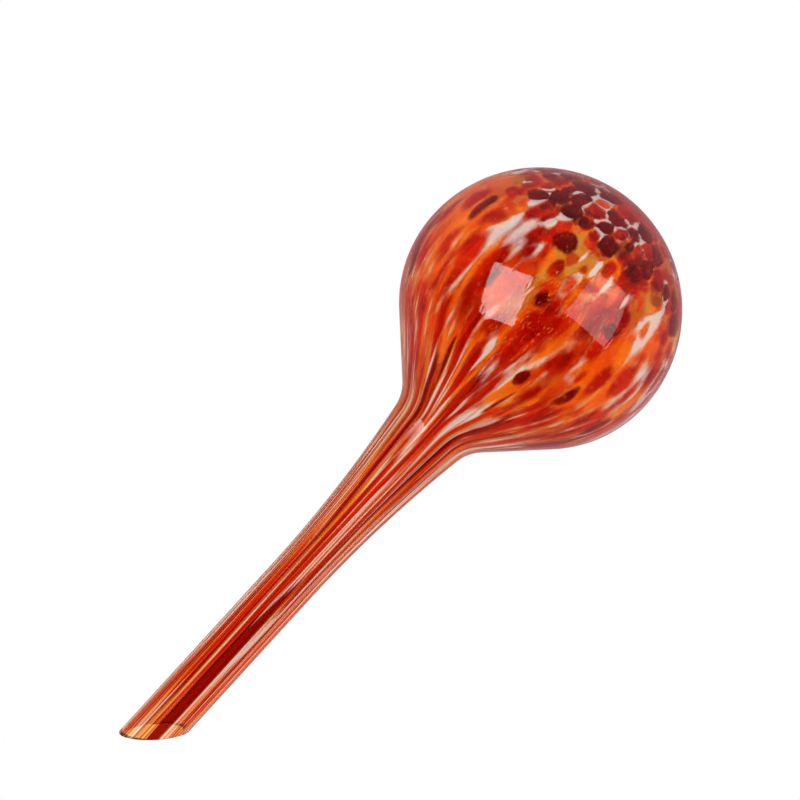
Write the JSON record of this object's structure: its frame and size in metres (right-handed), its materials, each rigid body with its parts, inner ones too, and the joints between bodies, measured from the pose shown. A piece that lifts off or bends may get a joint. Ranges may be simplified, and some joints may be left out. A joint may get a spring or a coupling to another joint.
{
  "type": "watering globe",
  "caption": "Blown-glass watering globe: round hollow bulb on a long open stem with a slanted mouth, with orange, red and maroon chips in the clear glass.",
  "frame": {"origin": "on the stem's axis, level with the lowest point of the slanted mouth", "axes": "+Z along the stem's axis from the mouth up to the bulb; -X towards the long lip of the slanted mouth"},
  "size_m": [0.076, 0.076, 0.196],
  "materials": {
    "clear_glass": "gloss",
    "maroon_glass": "gloss",
    "red_glass": "gloss",
    "orange_glass": "gloss",
    "amber_glass": "gloss"
  },
  "bodies": {
    "root": {"amber_belly_chips": "amber_glass", "amber_neck_streaks": "amber_glass", "amber_shoulder_streaks": "amber_glass", "clear_bubble": "clear_glass", "maroon_belly_chips": "maroon_glass", "maroon_crown_chips": "maroon_glass", "maroon_neck_streaks": "maroon_glass", "maroon_shoulder_streaks": "maroon_glass", "maroon_stem_streaks": "maroon_glass", "orange_belly_chips": "orange_glass", "orange_crown_chips": "orange_glass", "orange_neck_streaks": "orange_glass", "orange_shoulder_streaks": "orange_glass", "orange_stem_streaks": "orange_glass", "red_belly_chips": "red_glass", "red_crown_chips": "red_glass", "red_neck_streaks": "red_glass", "red_shoulder_streaks": "red_glass", "red_stem_streaks": "red_glass"}
  },
  "joints": []
}
